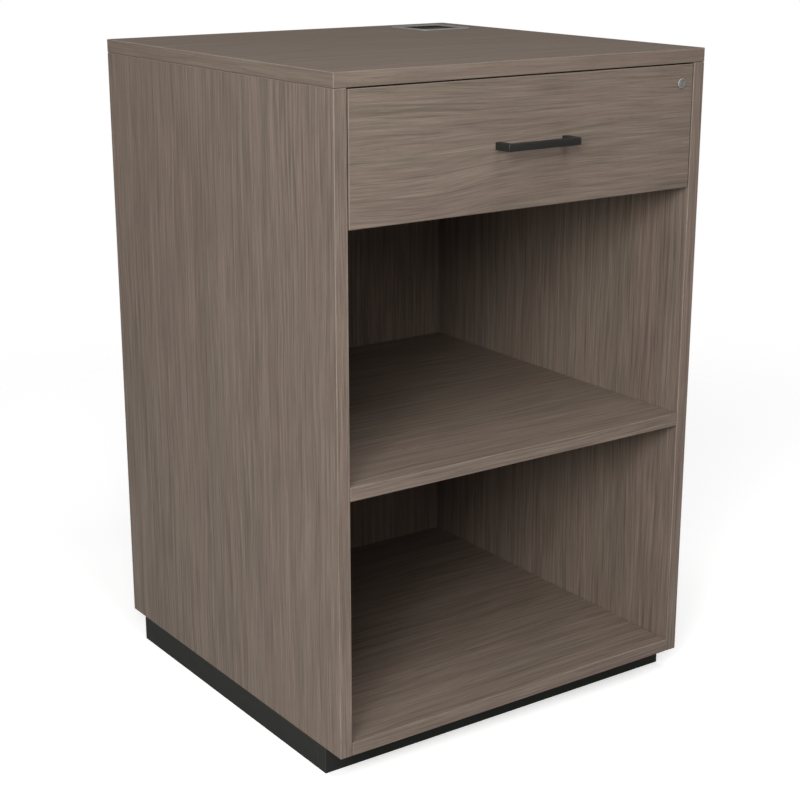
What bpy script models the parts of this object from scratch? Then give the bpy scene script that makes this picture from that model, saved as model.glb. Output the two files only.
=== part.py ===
"""Presentation lectern: an open cabinet on a plinth, with one locking drawer under its top.

Metres, +Z up. The front faces -Y. The origin lies on the floor, midway across the width, and
midway between the rear edge and the foremost face of the drawer handle.
"""

import math

import bmesh
import bpy
from mathutils import Matrix, Vector

# Cabinet
WIDTH = 0.6096
DEPTH = 0.6096
HEIGHT = 0.9398
BOARD = 0.01905
EDGE_ROUND = 0.0008
SEAT_GAP = 0.0003
PLINTH_HEIGHT = 0.0381
PLINTH_SETBACK = 0.0381
PLINTH_BOARD = 0.01905
BACK_INSET = 0.0032
SHELF_TOP = 0.4171

# Drawer
DRAWER_REVEAL = 0.0018
DRAWER_FRONT_HEIGHT = 0.1704
DRAWER_BOARD = 0.0127
DRAWER_BOX_RISE = 0.0125
DRAWER_BASE = 0.006
GROOVE_DEPTH = 0.006
GROOVE_RISE = 0.01

# Ball bearing slides, measured across from the cabinet side to the drawer side
SLIDE_SPACE = 0.0127
SLIDE_HEIGHT = 0.0457
SLIDE_LENGTH_STEP = 0.05
SLIDE_REAR_ROOM = 0.03
SLIDE_SETBACK = 0.003
SLIDE_METAL = 0.0012
SLIDE_OUTER_SHORT = 0.0035
SLIDE_RUN_GAP = 0.0007
SLIDE_LIP = 0.0036

# Handle
HANDLE_LENGTH = 0.12
HANDLE_PROJECTION = 0.029
HANDLE_HEIGHT = 0.0095
HANDLE_BAR = 0.008
HANDLE_FOOT = 0.009
HANDLE_CORNER = 0.0015
HANDLE_EDGE = 0.0006
SCREW_RADIUS = 0.002
SCREW_HEAD_RADIUS = 0.0038
SCREW_HEAD_HEIGHT = 0.0024
SCREW_HEAD_CHAMFER = 0.0012
HANDLE_SCREW_GRIP = 0.012
FRONT_SCREW_GRIP = 0.012
FRONT_SCREW_SPACING = 0.36

# Drawer lock
LOCK_FROM_SIDE = 0.023
LOCK_BELOW_TOP = 0.0272
LOCK_PLUG_RADIUS = 0.0044
LOCK_RUN_GAP = 0.0004
LOCK_WALL = 0.0012
LOCK_FACE_LIP = 0.001
LOCK_FACE_HEIGHT = 0.0014
LOCK_BARREL_TAIL = 0.005
LOCK_NUT_WALL = 0.0032
LOCK_NUT_HEIGHT = 0.003
LOCK_ABOVE_BOX = 0.009
LOCK_TAIL_SIDE = 0.005
LOCK_CAM_HEADROOM = 0.0052
LOCK_CAM_WIDTH = 0.012
LOCK_CAM_CORNER = 0.0036
LOCK_CAM_METAL = 0.0025
LOCK_SCREW_RADIUS = 0.0012
KEYWAY_WIDTH = 0.001
KEYWAY_HEIGHT = 0.0056
KEYWAY_DEPTH = 0.012
STRIKE_WIDTH = 0.024
STRIKE_ABOVE_NUT = 0.0022
STRIKE_DEPTH = 0.02
STRIKE_METAL = 0.0015
STRIKE_PLAY = 0.0008
STRIKE_SCREW_GRIP = 0.011

# Cable grommet
GROMMET_OPENING = 0.08
GROMMET_FROM_SIDE = 0.093
GROMMET_FROM_REAR = 0.094
GROMMET_WALL = 0.003
GROMMET_RIM = 0.004
GROMMET_RIM_HEIGHT = 0.002
GROMMET_CORNER = 0.005
GROMMET_LEDGE = 0.004
GROMMET_INNER_CORNER = 0.0008
LID_METAL = 0.003
LID_RECESS = 0.0035
LID_CABLE_GAP = 0.014
LID_SIDE_GAP = 0.0004
LID_PIN_RADIUS = 0.0011
LID_PIN_REACH = 0.0022
ROUND_GAP = 0.0003

# Cam fittings that hold the boards together
CAM_RADIUS = 0.0075
CAM_HEIGHT = 0.0125
CAM_REACH = 0.024
CAM_RECESS = 0.0025
CAM_RECESS_WIDTH = 0.0016
BOLT_THREAD_RADIUS = 0.0025
BOLT_THREAD_LENGTH = 0.011
BOLT_SHANK_RADIUS = 0.003
BOLT_NECK_RADIUS = 0.0018
BOLT_NECK_LENGTH = 0.005
BOLT_HEAD_HEIGHT = 0.0025
FITTING_FROM_EDGE = 0.055

# Facets of round shapes
FINE_SIDES = 24
BORE_SIDES = 16
PIN_SIDES = 12
HEXAGON = 6
CORNER_STEPS = 3
DOME_STEPS = 3
NOSE_STEPS = 6
CREASE_ANGLE = math.radians(40)
HANDLE_CREASE_ANGLE = math.radians(50)

# Meshing
WELD_DISTANCE = 0.00001
CUTTER_OVERRUN = 0.001

# Places worked out from the sizes above
INNER_HALF = WIDTH / 2 - BOARD
FRONT_Y = (HANDLE_PROJECTION - DEPTH) / 2
REAR_Y = FRONT_Y + DEPTH
UNDER_TOP = HEIGHT - BOARD
FLOOR_TOP = PLINTH_HEIGHT + BOARD
BACK_FRONT_Y = REAR_Y - BACK_INSET - BOARD
DRAWER_TOP_Z = UNDER_TOP - DRAWER_REVEAL
DRAWER_LOW_Z = DRAWER_TOP_Z - DRAWER_FRONT_HEIGHT
FRONT_BACK_Y = FRONT_Y + BOARD
LOCK_Z = UNDER_TOP - LOCK_BELOW_TOP
LOCK_BORE_RADIUS = LOCK_PLUG_RADIUS + LOCK_RUN_GAP
LOCK_BARREL_RADIUS = LOCK_BORE_RADIUS + LOCK_WALL
LOCK_FACE_RADIUS = LOCK_BARREL_RADIUS + LOCK_FACE_LIP
LOCK_NUT_RADIUS = LOCK_BARREL_RADIUS + LOCK_NUT_WALL
LOCK_CAM_REACH = LOCK_BELOW_TOP - LOCK_CAM_HEADROOM
SLIDE_FRONT_Y = FRONT_BACK_Y + SLIDE_SETBACK
SLIDE_ROOM = BACK_FRONT_Y - SLIDE_REAR_ROOM - SLIDE_FRONT_Y
SLIDE_LENGTH = SLIDE_LENGTH_STEP * math.floor(SLIDE_ROOM / SLIDE_LENGTH_STEP)
BOX_LOW_Z = DRAWER_LOW_Z + DRAWER_BOX_RISE
BOX_TOP_Z = LOCK_Z - LOCK_NUT_RADIUS - LOCK_ABOVE_BOX
BOX_HALF = INNER_HALF - SLIDE_SPACE
BOX_FRONT_Y = FRONT_BACK_Y + SEAT_GAP
BOX_REAR_Y = BOX_FRONT_Y + SLIDE_LENGTH
SLIDE_Z = (BOX_LOW_Z + BOX_TOP_Z) / 2
HANDLE_Z = (DRAWER_TOP_Z + DRAWER_LOW_Z) / 2
LOCK_AXIS = Vector((INNER_HALF - LOCK_FROM_SIDE, FRONT_Y, LOCK_Z))
LOCK_CAM_Y = FRONT_BACK_Y + LOCK_BARREL_TAIL + SEAT_GAP
GROMMET = Vector((WIDTH / 2 - GROMMET_FROM_SIDE, REAR_Y - GROMMET_FROM_REAR, HEIGHT))
RIM_TOP = HEIGHT + SEAT_GAP + GROMMET_RIM_HEIGHT
LID_TOP = RIM_TOP - LID_RECESS
LID_HINGE = Vector((
    GROMMET.x,
    GROMMET.y - GROMMET_OPENING / 2 + LID_SIDE_GAP + LID_METAL / 2,
    LID_TOP - LID_METAL / 2,
))

RIGHT, LEFT = Vector((1, 0, 0)), Vector((-1, 0, 0))
FORWARD, REARWARD = Vector((0, -1, 0)), Vector((0, 1, 0))
UP, DOWN = Vector((0, 0, 1)), Vector((0, 0, -1))


def clear_scene():
    for old in list(bpy.data.objects):
        bpy.data.objects.remove(old, do_unlink=True)


def new_collection(name):
    made = bpy.data.collections.new(name)
    bpy.context.scene.collection.children.link(made)
    return made


def surface(name, colour, roughness, metallic=0.0):
    """A Principled material."""
    made = bpy.data.materials.new(name)
    made.use_nodes = True
    shader = made.node_tree.nodes["Principled BSDF"]
    shader.inputs["Base Color"].default_value = (*colour, 1.0)
    shader.inputs["Roughness"].default_value = roughness
    shader.inputs["Metallic"].default_value = metallic
    made.diffuse_color = (*colour, 1.0)
    return made


def add_part(name, data, material, parent=None):
    """Puts data in the lectern's collection as a part that follows parent."""
    part = bpy.data.objects.new(name, data)
    if not data.materials:
        data.materials.append(material)
    LECTERN.objects.link(part)
    follow(part, parent)
    return part


def follow(part, parent):
    """Parents the part, leaving it where it is in the world."""
    if parent is not None:
        part.parent = parent
        part.matrix_parent_inverse = Matrix.Translation(parent.location).inverted()


def axis_empty(name, location):
    """An empty that stands for a moving body, on its joint's axis."""
    empty = bpy.data.objects.new(name, None)
    empty.location = location
    LECTERN.objects.link(empty)
    return empty


def aim(thing, origin, z_axis, x_axis):
    """Places the thing at origin with its own Z and X along the given directions."""
    turn = Matrix((x_axis, z_axis.cross(x_axis), z_axis)).transposed()
    thing.location = origin
    thing.rotation_euler = turn.to_euler()


def add_helper(name, data):
    """A cutter or a union's second shape, which isn't a part."""
    helper = bpy.data.objects.new(name, data)
    helper.hide_render = True
    helper.display_type = "WIRE"
    CUTTERS.objects.link(helper)
    return helper


def combine(target, helper, operation="DIFFERENCE"):
    boolean = target.modifiers.new(helper.name, "BOOLEAN")
    boolean.object = helper
    boolean.operation = operation
    boolean.solver = "EXACT"


def box_mesh(name, size):
    work = bmesh.new()
    bmesh.ops.create_cube(work, size=1.0)
    bmesh.ops.scale(work, vec=size, verts=work.verts)
    mesh = bpy.data.meshes.new(name)
    work.to_mesh(mesh)
    work.free()
    return mesh


def rod_mesh(name, radius, length, sides):
    """A cylinder on the Z axis, standing on the XY plane."""
    work = bmesh.new()
    bmesh.ops.create_cone(
        work, cap_ends=True, segments=sides, radius1=radius, radius2=radius, depth=length
    )
    bmesh.ops.translate(work, vec=(0, 0, length / 2), verts=work.verts)
    mesh = bpy.data.meshes.new(name)
    work.to_mesh(mesh)
    work.free()
    mesh.shade_smooth()
    mesh.set_sharp_from_angle(angle=CREASE_ANGLE)
    return mesh


def board(name, low, high, material, parent=None):
    """A board between two corners, with its edges eased."""
    low, high = Vector(low), Vector(high)
    part = add_part(name, box_mesh(name, high - low), material)
    part.location = (low + high) / 2
    follow(part, parent)
    ease = part.modifiers.new("eased edges", "BEVEL")
    ease.width = EDGE_ROUND
    ease.segments = 1
    return part


def cut_box(target, what, low, high):
    low, high = Vector(low), Vector(high)
    helper = add_helper(f"{target.name} {what}", box_mesh(what, high - low))
    helper.location = (low + high) / 2
    combine(target, helper)


def cut_bore(target, what, mouth, inward, radius, depth, sides=BORE_SIDES):
    """A round hole from its mouth inward, whose cutter starts a little outside the mouth."""
    mesh = rod_mesh(what, radius, depth + CUTTER_OVERRUN, sides)
    helper = add_helper(f"{target.name} {what}", mesh)
    aim(helper, mouth - inward * CUTTER_OVERRUN, inward, inward.orthogonal().normalized())
    combine(target, helper)


def rounded(corners, radius, steps=CORNER_STEPS):
    """The outline through the corners, with each corner turned in an arc."""
    points = []
    count = len(corners)
    for index, corner in enumerate(corners):
        here = Vector(corner)
        before = (Vector(corners[index - 1]) - here).normalized()
        after = (Vector(corners[(index + 1) % count]) - here).normalized()
        half = before.angle(after) / 2
        centre = here + (before + after).normalized() * radius / math.sin(half)
        start = here + before * radius / math.tan(half) - centre
        end = here + after * radius / math.tan(half) - centre
        for step in range(steps + 1):
            sweep = start.slerp(end, step / steps).normalized()
            points.append(centre + sweep * radius)
    return points


def rectangle(low_x, low_y, high_x, high_y):
    return [(low_x, low_y), (high_x, low_y), (high_x, high_y), (low_x, high_y)]


def circle(radius, sides, first=0.0):
    turns = [first + 2 * math.pi * step / sides for step in range(sides)]
    return [(radius * math.cos(turn), radius * math.sin(turn)) for turn in turns]


def plate_curve(name, outlines, thickness):
    """A flat outline, with any further outlines as its holes, thickened about its own plane."""
    curve = bpy.data.curves.new(name, "CURVE")
    curve.dimensions = "2D"
    curve.fill_mode = "BOTH"
    curve.extrude = thickness / 2
    for outline in outlines:
        spline = curve.splines.new("POLY")
        spline.points.add(len(outline) - 1)
        for point, place in zip(spline.points, outline):
            point.co = (place[0], place[1], 0, 1)
        spline.use_cyclic_u = True
    return curve


def mesh_of(thing, name):
    """The evaluated mesh of an object, welded shut."""
    bpy.context.view_layer.update()
    graph = bpy.context.evaluated_depsgraph_get()
    mesh = bpy.data.meshes.new_from_object(thing.evaluated_get(graph))
    mesh.name = name
    work = bmesh.new()
    work.from_mesh(mesh)
    bmesh.ops.remove_doubles(work, verts=work.verts, dist=WELD_DISTANCE)
    bmesh.ops.recalc_face_normals(work, faces=work.faces)
    work.to_mesh(mesh)
    work.free()
    return mesh


def plate_mesh(name, outlines, thickness):
    """The same plate as a closed mesh, for a piece that is cut, joined or bevelled."""
    source = add_helper(f"{name} outline", plate_curve(name, outlines, thickness))
    mesh = mesh_of(source, name)
    bpy.data.objects.remove(source, do_unlink=True)
    return mesh


def turned_mesh(name, profile, closed, steps):
    """A profile of (radius, height) points turned about the Z axis."""
    mesh = bpy.data.meshes.new(name)
    points = [(radius, 0.0, height) for radius, height in profile]
    edges = [(index, index + 1) for index in range(len(points) - 1)]
    if closed:
        edges.append((len(points) - 1, 0))
    mesh.from_pydata(points, edges, [])
    source = add_helper(f"{name} profile", mesh)
    screw = source.modifiers.new("turn", "SCREW")
    screw.steps = steps
    screw.render_steps = steps
    screw.use_merge_vertices = True
    screw.merge_threshold = WELD_DISTANCE
    made = mesh_of(source, name)
    bpy.data.objects.remove(source, do_unlink=True)
    made.shade_smooth()
    made.set_sharp_from_angle(angle=CREASE_ANGLE)
    return made


def make_carcase():
    """The six fixed boards."""
    inner = INNER_HALF - SEAT_GAP
    top = board(
        "top_panel",
        (-WIDTH / 2, FRONT_Y, UNDER_TOP),
        (WIDTH / 2, REAR_Y, HEIGHT),
        LAMINATE,
    )
    sides = {}
    for name, sign in (("side_panel_left", -1), ("side_panel_right", 1)):
        near, far = sorted((sign * INNER_HALF, sign * WIDTH / 2))
        sides[sign] = board(
            name,
            (near, FRONT_Y, PLINTH_HEIGHT),
            (far, REAR_Y, UNDER_TOP - SEAT_GAP),
            LAMINATE,
        )
    board(
        "back_panel",
        (-inner, BACK_FRONT_Y, PLINTH_HEIGHT),
        (inner, REAR_Y - BACK_INSET, UNDER_TOP - SEAT_GAP),
        LAMINATE,
    )
    floor = board(
        "bottom_panel",
        (-inner, FRONT_Y, PLINTH_HEIGHT),
        (inner, BACK_FRONT_Y - SEAT_GAP, FLOOR_TOP),
        LAMINATE,
    )
    shelf = board(
        "fixed_shelf",
        (-inner, FRONT_Y, SHELF_TOP - BOARD),
        (inner, BACK_FRONT_Y - SEAT_GAP, SHELF_TOP),
        LAMINATE,
    )
    return top, sides, floor, shelf


def make_plinth():
    """Four rails, flush with the cabinet's sides and set back at its front and rear."""
    low_y = FRONT_Y + PLINTH_SETBACK
    high_y = REAR_Y - PLINTH_SETBACK
    top = PLINTH_HEIGHT - SEAT_GAP
    half = WIDTH / 2
    board("plinth_front", (-half, low_y, 0), (half, low_y + PLINTH_BOARD, top), CHARCOAL)
    board("plinth_rear", (-half, high_y - PLINTH_BOARD, 0), (half, high_y, top), CHARCOAL)
    rail_low = low_y + PLINTH_BOARD + SEAT_GAP
    rail_high = high_y - PLINTH_BOARD - SEAT_GAP
    for name, sign in (("plinth_left", -1), ("plinth_right", 1)):
        near, far = sorted((sign * (half - PLINTH_BOARD), sign * half))
        board(name, (near, rail_low, 0), (far, rail_high, top), CHARCOAL)


def cam_mesh():
    """A cam disc whose recessed face is its top, open on its +X side for the bolt's head."""
    blank = add_helper("cam blank", rod_mesh("cam_blank", CAM_RADIUS, CAM_HEIGHT, FINE_SIDES))
    opening = BOLT_SHANK_RADIUS + ROUND_GAP
    mouth = box_mesh("cam_mouth", (CAM_RADIUS * 2, opening * 2, opening * 2))
    slot = add_helper("cam mouth", mouth)
    slot.location = (CAM_RADIUS - opening, 0, CAM_HEIGHT - BOARD / 2)
    combine(blank, slot)
    tools = [slot]
    for turn in (0, 1):
        size = (CAM_RADIUS, CAM_RECESS_WIDTH)
        bar = add_helper(
            f"cam recess {turn}", box_mesh("cam_recess", (size[turn], size[1 - turn], CAM_RECESS * 2))
        )
        bar.location = (0, 0, CAM_HEIGHT)
        combine(blank, bar)
        tools.append(bar)
    made = mesh_of(blank, "cam")
    for helper in [blank, *tools]:
        bpy.data.objects.remove(helper, do_unlink=True)
    made.materials.append(ZINC)
    return made


def bolt_mesh():
    """A connecting bolt: its thread runs to +Z, and its head ends under the middle of the cam."""
    shank_end = BOLT_NECK_LENGTH + BOLT_HEAD_HEIGHT - CAM_REACH
    head_end = -CAM_REACH
    profile = [
        (0.0, BOLT_THREAD_LENGTH),
        (BOLT_THREAD_RADIUS, BOLT_THREAD_LENGTH),
        (BOLT_THREAD_RADIUS, SEAT_GAP),
        (BOLT_SHANK_RADIUS, SEAT_GAP),
        (BOLT_SHANK_RADIUS, shank_end),
        (BOLT_NECK_RADIUS, shank_end),
        (BOLT_NECK_RADIUS, head_end + BOLT_HEAD_HEIGHT),
        (BOLT_SHANK_RADIUS, head_end + BOLT_HEAD_HEIGHT),
        (BOLT_SHANK_RADIUS, head_end),
        (0.0, head_end),
    ]
    made = turned_mesh("connecting_bolt", profile, False, BORE_SIDES)
    made.materials.append(ZINC)
    return made


def join_boards(name, shapes, held, holder, joint, face, reach):
    """One cam fitting. held is the board with the cam, which opens along face. holder takes the
    bolt's thread, along reach. joint is the point of held's edge where the bolt crosses."""
    cam_shape, bolt_shape = shapes
    cam = add_part(f"cam_{name}", cam_shape, ZINC)
    middle = joint - reach * CAM_REACH
    seat = middle + face * (BOARD / 2 - CAM_HEIGHT)
    aim(cam, seat, face, reach)
    bolt = add_part(f"bolt_{name}", bolt_shape, ZINC)
    aim(bolt, joint, reach, face)
    pocket = CAM_RADIUS + ROUND_GAP
    mouth = middle + face * BOARD / 2
    cut_bore(held, f"pocket {name}", mouth, -face, pocket, CAM_HEIGHT + ROUND_GAP, FINE_SIDES)
    shank = BOLT_SHANK_RADIUS + ROUND_GAP
    cut_bore(held, f"bore {name}", joint, -reach, shank, CAM_REACH)
    thread = BOLT_THREAD_RADIUS + ROUND_GAP
    cut_bore(holder, f"thread {name}", joint, reach, thread, BOLT_THREAD_LENGTH + ROUND_GAP)


def make_fittings(top, sides, floor, shelf):
    """Cams and bolts at both ends of the shelf and the bottom, and at the head of each side."""
    shapes = (cam_mesh(), bolt_mesh())
    inner = INNER_HALF - SEAT_GAP
    rows = {"front": FRONT_Y + FITTING_FROM_EDGE, "rear": BACK_FRONT_Y - FITTING_FROM_EDGE}
    for row, y in rows.items():
        for side, sign in (("left", -1), ("right", 1)):
            reach = RIGHT * sign
            for held, label, low in (
                (shelf, "shelf", SHELF_TOP - BOARD),
                (floor, "bottom", PLINTH_HEIGHT),
            ):
                joint = Vector((sign * inner, y, low + BOARD / 2))
                name = f"{label}_{side}_{row}"
                join_boards(name, shapes, held, sides[sign], joint, DOWN, reach)
            middle = sign * (INNER_HALF + BOARD / 2)
            joint = Vector((middle, y, UNDER_TOP - SEAT_GAP))
            name = f"top_{side}_{row}"
            join_boards(name, shapes, sides[sign], top, joint, -reach, UP)


def slide_outline(low, high, half, sign):
    """A channel in section: its web at low, its flanges at half height, and lips at high."""
    metal = SLIDE_METAL
    upper = [
        (high, half - SLIDE_LIP),
        (high, half),
        (low, half),
    ]
    inside = [
        (low + metal, half - metal),
        (high - metal, half - metal),
        (high - metal, half - SLIDE_LIP),
    ]
    outer = upper + [(x, -y) for x, y in reversed(upper)]
    inner = [(x, -y) for x, y in reversed(inside)] + inside
    points = [(sign * x, y) for x, y in outer + inner]
    return points if sign > 0 else points[::-1]


def make_slides(drawer, left_travel, right_travel):
    """Three nested channels at each side: fixed to the cabinet, running free, fixed to the drawer."""
    outer_half = SLIDE_HEIGHT / 2
    middle_half = outer_half - SLIDE_LIP - SLIDE_RUN_GAP
    inner_half = middle_half - SLIDE_LIP - SLIDE_RUN_GAP
    lip_at = SLIDE_SPACE - SLIDE_OUTER_SHORT
    middle_low = SEAT_GAP + SLIDE_METAL + SLIDE_RUN_GAP
    middle_lip = SLIDE_SPACE - SEAT_GAP - SLIDE_METAL - SLIDE_RUN_GAP
    inner_low = middle_low + SLIDE_METAL + SLIDE_RUN_GAP
    spans = {
        "outer": (SEAT_GAP, lip_at, outer_half),
        "middle": (middle_low, middle_lip, middle_half),
        "inner": (SLIDE_SPACE - SEAT_GAP, inner_low, inner_half),
    }
    for side, sign, travel in (("left", -1, left_travel), ("right", 1, right_travel)):
        for member, (low, high, half) in spans.items():
            parent = {"outer": None, "middle": travel, "inner": drawer}[member]
            if member == "inner":
                outline = plain_channel(low, high, half, -sign)
            else:
                outline = slide_outline(low, high, half, -sign)
            name = f"slide_{member}_{side}"
            curve = plate_curve(name, [outline], SLIDE_LENGTH)
            part = add_part(name, curve, STEEL)
            middle = Vector((sign * INNER_HALF, SLIDE_FRONT_Y + SLIDE_LENGTH / 2, SLIDE_Z))
            aim(part, middle, FORWARD, RIGHT)
            follow(part, parent)


def plain_channel(web, edge, half, sign):
    """A channel in section without lips, with its web at web and its flanges reaching to edge."""
    metal = SLIDE_METAL
    points = [
        (web, -half),
        (web, half),
        (edge, half),
        (edge, half - metal),
        (web - metal, half - metal),
        (web - metal, metal - half),
        (edge, metal - half),
        (edge, -half),
    ]
    return [(sign * x, y) for x, y in points]


def make_drawer(drawer):
    """The drawer front and the box behind it, whose base sits in grooves."""
    front = board(
        "drawer_front",
        (DRAWER_REVEAL - INNER_HALF, FRONT_Y, DRAWER_LOW_Z),
        (INNER_HALF - DRAWER_REVEAL, FRONT_BACK_Y, DRAWER_TOP_Z),
        LAMINATE,
        drawer,
    )
    groove_low = BOX_LOW_Z + GROOVE_RISE
    groove_high = groove_low + DRAWER_BASE + 2 * SEAT_GAP
    inside = BOX_HALF - DRAWER_BOARD
    groove_half = inside + GROOVE_DEPTH
    inner_front_back = BOX_FRONT_Y + DRAWER_BOARD
    groove_front = inner_front_back - GROOVE_DEPTH
    for name, sign in (("drawer_side_left", -1), ("drawer_side_right", 1)):
        near, far = sorted((sign * inside, sign * BOX_HALF))
        wall = board(
            name,
            (near, BOX_FRONT_Y, BOX_LOW_Z),
            (far, BOX_REAR_Y, BOX_TOP_Z),
            DRAWER_BOX,
            drawer,
        )
        start, end = sorted((sign * (inside - GROOVE_DEPTH), sign * groove_half))
        cut_box(
            wall,
            "groove",
            (start, groove_front, groove_low),
            (end, BOX_REAR_Y + GROOVE_DEPTH, groove_high),
        )
    across = inside - SEAT_GAP
    inner_front = board(
        "drawer_inner_front",
        (-across, BOX_FRONT_Y, BOX_LOW_Z),
        (across, inner_front_back, BOX_TOP_Z),
        DRAWER_BOX,
        drawer,
    )
    cut_box(
        inner_front,
        "groove",
        (-WIDTH, groove_front, groove_low),
        (WIDTH, inner_front_back + GROOVE_DEPTH, groove_high),
    )
    board(
        "drawer_back",
        (-across, BOX_REAR_Y - DRAWER_BOARD, groove_high),
        (across, BOX_REAR_Y, BOX_TOP_Z),
        DRAWER_BOX,
        drawer,
    )
    base_half = groove_half - SEAT_GAP
    base = add_part(
        "drawer_base",
        box_mesh(
            "drawer_base",
            (2 * base_half, BOX_REAR_Y - groove_front - SEAT_GAP, DRAWER_BASE),
        ),
        BASE_SHEET,
    )
    base.location = (
        0,
        (groove_front + SEAT_GAP + BOX_REAR_Y) / 2,
        groove_low + SEAT_GAP + DRAWER_BASE / 2,
    )
    follow(base, drawer)
    return front, inner_front


def screw_mesh(name, length):
    """A domed screw whose head sits on the XY plane and whose shank runs to -Z."""
    turns = [math.pi / 2 * step / DOME_STEPS for step in range(DOME_STEPS + 1)]
    dome = [
        (SCREW_HEAD_RADIUS * math.sin(turn), SCREW_HEAD_HEIGHT * math.cos(turn)) for turn in turns
    ]
    shank = [(SCREW_RADIUS, 0.0), (SCREW_RADIUS, -length), (0.0, -length)]
    made = turned_mesh(name, dome + shank, False, BORE_SIDES)
    made.materials.append(ZINC)
    return made


def make_handle(drawer, front, inner_front):
    """A square bar with a foot at each end, held by two screws from inside the drawer."""
    half = HANDLE_LENGTH / 2
    seat = -SEAT_GAP
    outer = [(-half, seat), (-half, -HANDLE_PROJECTION), (half, -HANDLE_PROJECTION), (half, seat)]
    bar_back = HANDLE_BAR - HANDLE_PROJECTION
    foot_inner = half - HANDLE_FOOT
    inner = [(foot_inner, seat), (foot_inner, bar_back), (-foot_inner, bar_back), (-foot_inner, seat)]
    square = outer[:1] + rounded_corners(outer, (1, 2), HANDLE_CORNER) + outer[3:]
    inside = inner[:1] + rounded_corners(inner, (1, 2), HANDLE_CORNER) + inner[3:]
    mesh = plate_mesh("drawer_handle", [square + inside], HANDLE_HEIGHT)
    handle = add_part("drawer_handle", mesh, BLACK_METAL)
    handle.location = (0, FRONT_Y, HANDLE_Z)
    follow(handle, drawer)
    ease = handle.modifiers.new("eased edges", "BEVEL")
    ease.width = HANDLE_EDGE
    ease.segments = 2
    ease.limit_method = "ANGLE"
    ease.angle_limit = HANDLE_CREASE_ANGLE
    grip = HANDLE_SCREW_GRIP
    seat_y = BOX_FRONT_Y + DRAWER_BOARD + SEAT_GAP
    shape = screw_mesh("handle_screw", seat_y - FRONT_Y + grip)
    for side, sign in (("left", -1), ("right", 1)):
        x = sign * (half - HANDLE_FOOT / 2)
        head = Vector((x, seat_y, HANDLE_Z))
        screw = add_part(f"handle_screw_{side}", shape, ZINC)
        aim(screw, head, REARWARD, RIGHT)
        follow(screw, drawer)
        hole = SCREW_RADIUS + ROUND_GAP
        cut_bore(inner_front, f"handle {side}", head, FORWARD, hole, DRAWER_BOARD + SEAT_GAP * 2)
        mouth = Vector((x, FRONT_BACK_Y, HANDLE_Z))
        cut_bore(front, f"handle {side}", mouth, FORWARD, hole, BOARD + SEAT_GAP)
        foot = Vector((x, FRONT_Y, HANDLE_Z))
        cut_bore(handle, f"screw {side}", foot, FORWARD, hole, grip + ROUND_GAP)


def rounded_corners(points, which, radius):
    """The arcs at the chosen corners of an open outline."""
    arcs = []
    for index in which:
        trio = [points[index - 1], points[index], points[index + 1]]
        turned = rounded(trio, radius)
        steps = len(turned) // 3
        arcs += turned[steps:2 * steps]
    return arcs


def make_front_screws(drawer, front, inner_front):
    """Two screws that hold the drawer front to its box."""
    seat_y = BOX_FRONT_Y + DRAWER_BOARD + SEAT_GAP
    shape = screw_mesh("front_screw", seat_y - FRONT_BACK_Y + FRONT_SCREW_GRIP)
    hole = SCREW_RADIUS + ROUND_GAP
    for side, sign in (("left", -1), ("right", 1)):
        head = Vector((sign * FRONT_SCREW_SPACING / 2, seat_y, HANDLE_Z))
        screw = add_part(f"front_screw_{side}", shape, ZINC)
        aim(screw, head, REARWARD, RIGHT)
        follow(screw, drawer)
        cut_bore(inner_front, f"screw {side}", head, FORWARD, hole, DRAWER_BOARD + SEAT_GAP * 2)
        mouth = Vector((head.x, FRONT_BACK_Y, HANDLE_Z))
        cut_bore(front, f"screw {side}", mouth, FORWARD, hole, FRONT_SCREW_GRIP + ROUND_GAP)


def make_lock_body(drawer, front):
    """The lock's barrel through the drawer front, and the nut behind it."""
    face = LOCK_FACE_HEIGHT + SEAT_GAP
    tail = -(BOARD + LOCK_BARREL_TAIL)
    profile = [
        (LOCK_FACE_RADIUS - LOCK_FACE_HEIGHT / 2, face),
        (LOCK_FACE_RADIUS, face - LOCK_FACE_HEIGHT / 2),
        (LOCK_FACE_RADIUS, SEAT_GAP),
        (LOCK_BARREL_RADIUS, SEAT_GAP),
        (LOCK_BARREL_RADIUS, tail),
        (LOCK_BORE_RADIUS, tail),
        (LOCK_BORE_RADIUS, face),
    ]
    barrel = add_part("lock_barrel", turned_mesh("lock_barrel", profile, True, FINE_SIDES), NICKEL)
    aim(barrel, LOCK_AXIS, FORWARD, RIGHT)
    follow(barrel, drawer)
    hole = LOCK_BARREL_RADIUS + ROUND_GAP
    cut_bore(front, "lock bore", LOCK_AXIS, REARWARD, hole, BOARD + CUTTER_OVERRUN, FINE_SIDES)
    outlines = [circle(LOCK_NUT_RADIUS, HEXAGON), circle(hole, FINE_SIDES)]
    nut = add_part("lock_nut", plate_curve("lock_nut", outlines, LOCK_NUT_HEIGHT), ZINC)
    middle = FRONT_BACK_Y + SEAT_GAP + LOCK_NUT_HEIGHT / 2
    aim(nut, Vector((LOCK_AXIS.x, middle, LOCK_AXIS.z)), FORWARD, RIGHT)
    follow(nut, drawer)


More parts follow.
